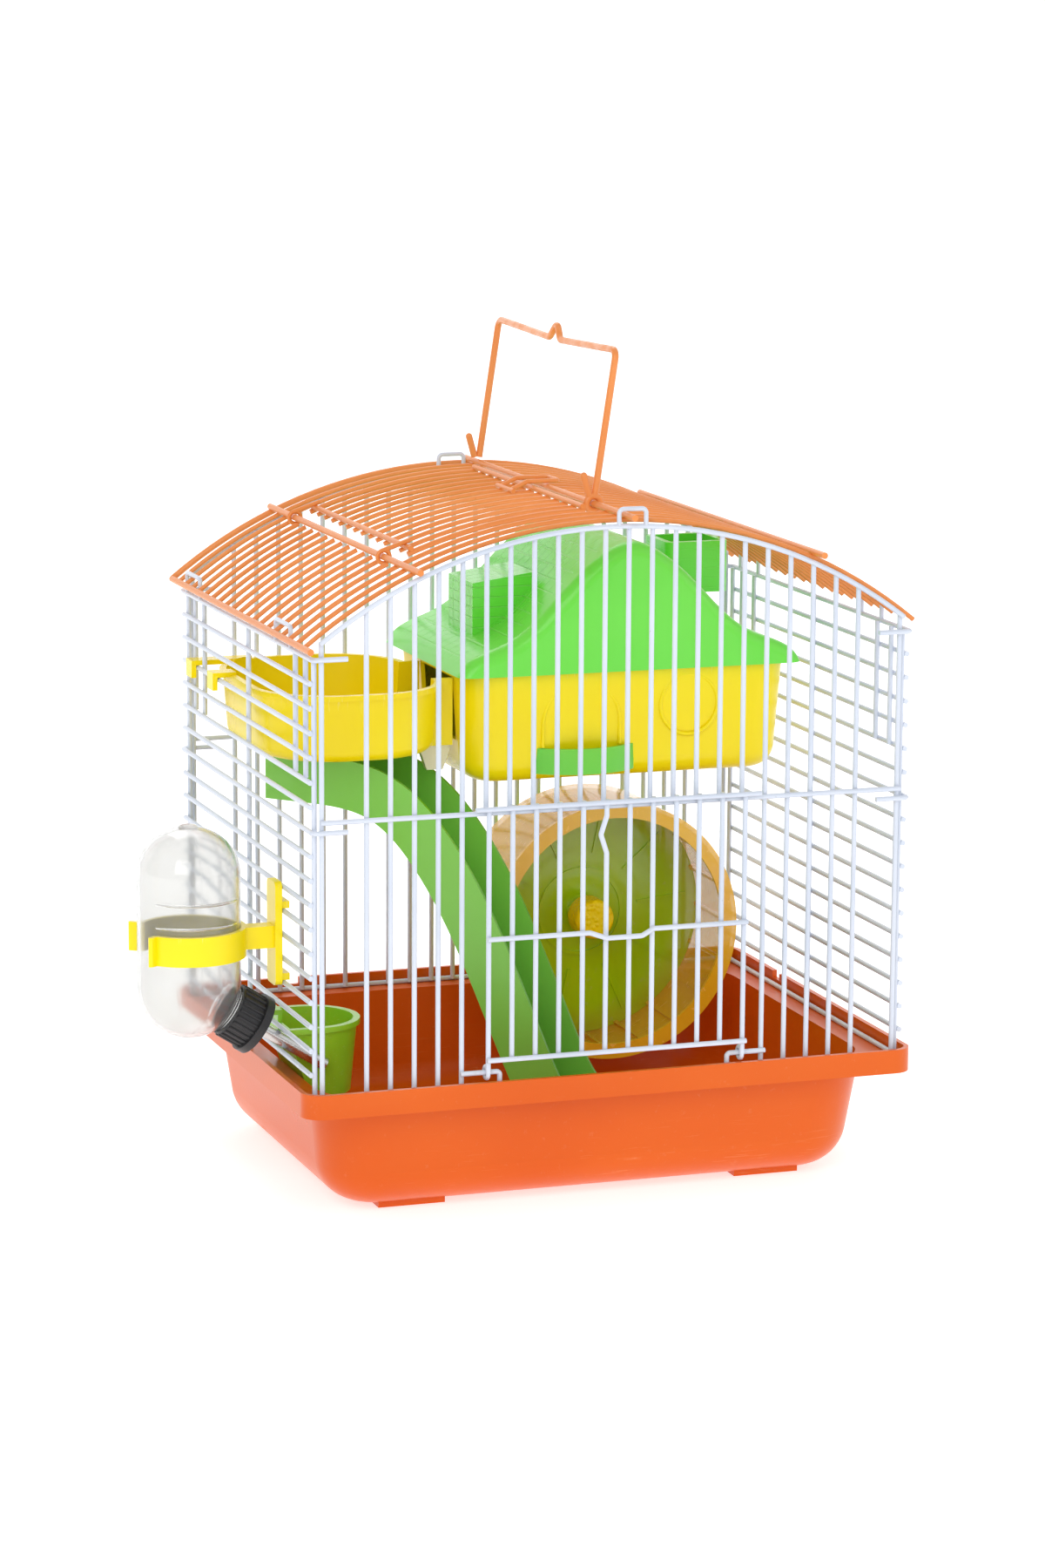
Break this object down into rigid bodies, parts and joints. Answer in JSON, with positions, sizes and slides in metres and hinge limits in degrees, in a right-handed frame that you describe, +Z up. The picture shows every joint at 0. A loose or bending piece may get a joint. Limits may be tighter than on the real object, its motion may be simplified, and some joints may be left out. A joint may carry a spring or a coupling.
{
  "type": "hamster cage",
  "caption": "Small wire carry cage with a deep tray, arched roof with hatch and handle, front door, wheel, slide, raised tub and house, food cup and water bottle.",
  "frame": {"origin": "middle of the tray's footprint, on the flat foot it stands on", "axes": "+Z up, +X to the cage's right as seen from the door, +Y to its back"},
  "size_m": [0.3353, 0.2242, 0.3692],
  "materials": {
    "tray": "smooth moulded plastic",
    "white_wire": "white coated wire",
    "orange_wire": "orange coated wire",
    "yellow": "smooth moulded plastic",
    "green": "smooth moulded plastic",
    "dish_green": "smooth moulded plastic",
    "slide_green": "smooth moulded plastic",
    "beige": "smooth moulded plastic",
    "wheel_amber": "translucent moulded plastic",
    "wheel_olive": "smooth moulded plastic",
    "bottle_clear": "translucent blown plastic",
    "cap_black": "fine grained",
    "seal_rubber": "soft",
    "steel": "drawn tube"
  },
  "bodies": {
    "tray_body": {"tray": "tray"},
    "wire_top": {"front_wall": "white_wire", "back_wall": "white_wire", "left_wall": "white_wire", "right_wall": "white_wire", "roof": "orange_wire", "house_box": "yellow", "house_lid": "green", "balcony": "green", "upper_tub": "yellow", "link_clip": "beige", "slide": "slide_green", "wheel_bracket": "yellow", "wheel_axle": "steel"},
    "door_body": {"front_door": "white_wire"},
    "hatch_body": {"roof_hatch": "orange_wire"},
    "handle_body": {"carry_handle": "orange_wire"},
    "wheel": {"wheel_drum": "wheel_amber", "wheel_disc": "wheel_olive", "hub_cap": "yellow"},
    "bottle_unit": {"bottle": "bottle_clear", "bottle_ring": "yellow", "ring_clip": "yellow"},
    "cap_unit": {"bottle_cap": "cap_black", "bottle_seal": "seal_rubber", "sipper_tube": "steel", "sipper_ball": "steel"},
    "dish_body": {"food_dish": "dish_green"}
  },
  "joints": [
    {"name": "top_lift", "type": "slide", "parent": "tray_body", "child": "wire_top", "axis": [0, 0, 1], "range_m": [0, 0.1]},
    {"name": "door_hinge", "type": "hinge", "parent": "wire_top", "child": "door_body", "pos_m": [0, -0.1036, 0.0636], "axis": [1, 0, 0], "range_deg": [0, 85]},
    {"name": "hatch_hinge", "type": "hinge", "parent": "wire_top", "child": "hatch_body", "pos_m": [-0.09, 0, 0.27957], "axis": [0, -1, 0], "range_deg": [0, 120]},
    {"name": "handle_hinge", "type": "hinge", "parent": "wire_top", "child": "handle_body", "pos_m": [0.004, 0, 0.29876], "axis": [0, 1, 0], "range_deg": [-38, 86]},
    {"name": "wheel_spin", "type": "hinge", "parent": "wire_top", "child": "wheel", "pos_m": [0.0525, 0.06, 0.087], "axis": [0, 1, 0], "continuous": true},
    {"name": "bottle_pull", "type": "slide", "parent": "wire_top", "child": "bottle_unit", "axis": [-0.8387, 0, 0.5446], "range_m": [0, 0.07]},
    {"name": "cap_turn", "type": "hinge", "parent": "bottle_unit", "child": "cap_unit", "pos_m": [-0.1748, -0.056, 0.09883], "axis": [0.8387, 0, -0.5446], "range_deg": [0, 360]},
    {"name": "dish_lift", "type": "slide", "parent": "wire_top", "child": "dish_body", "axis": [0, 0, 1], "range_m": [0, 0.0055]}
  ]
}
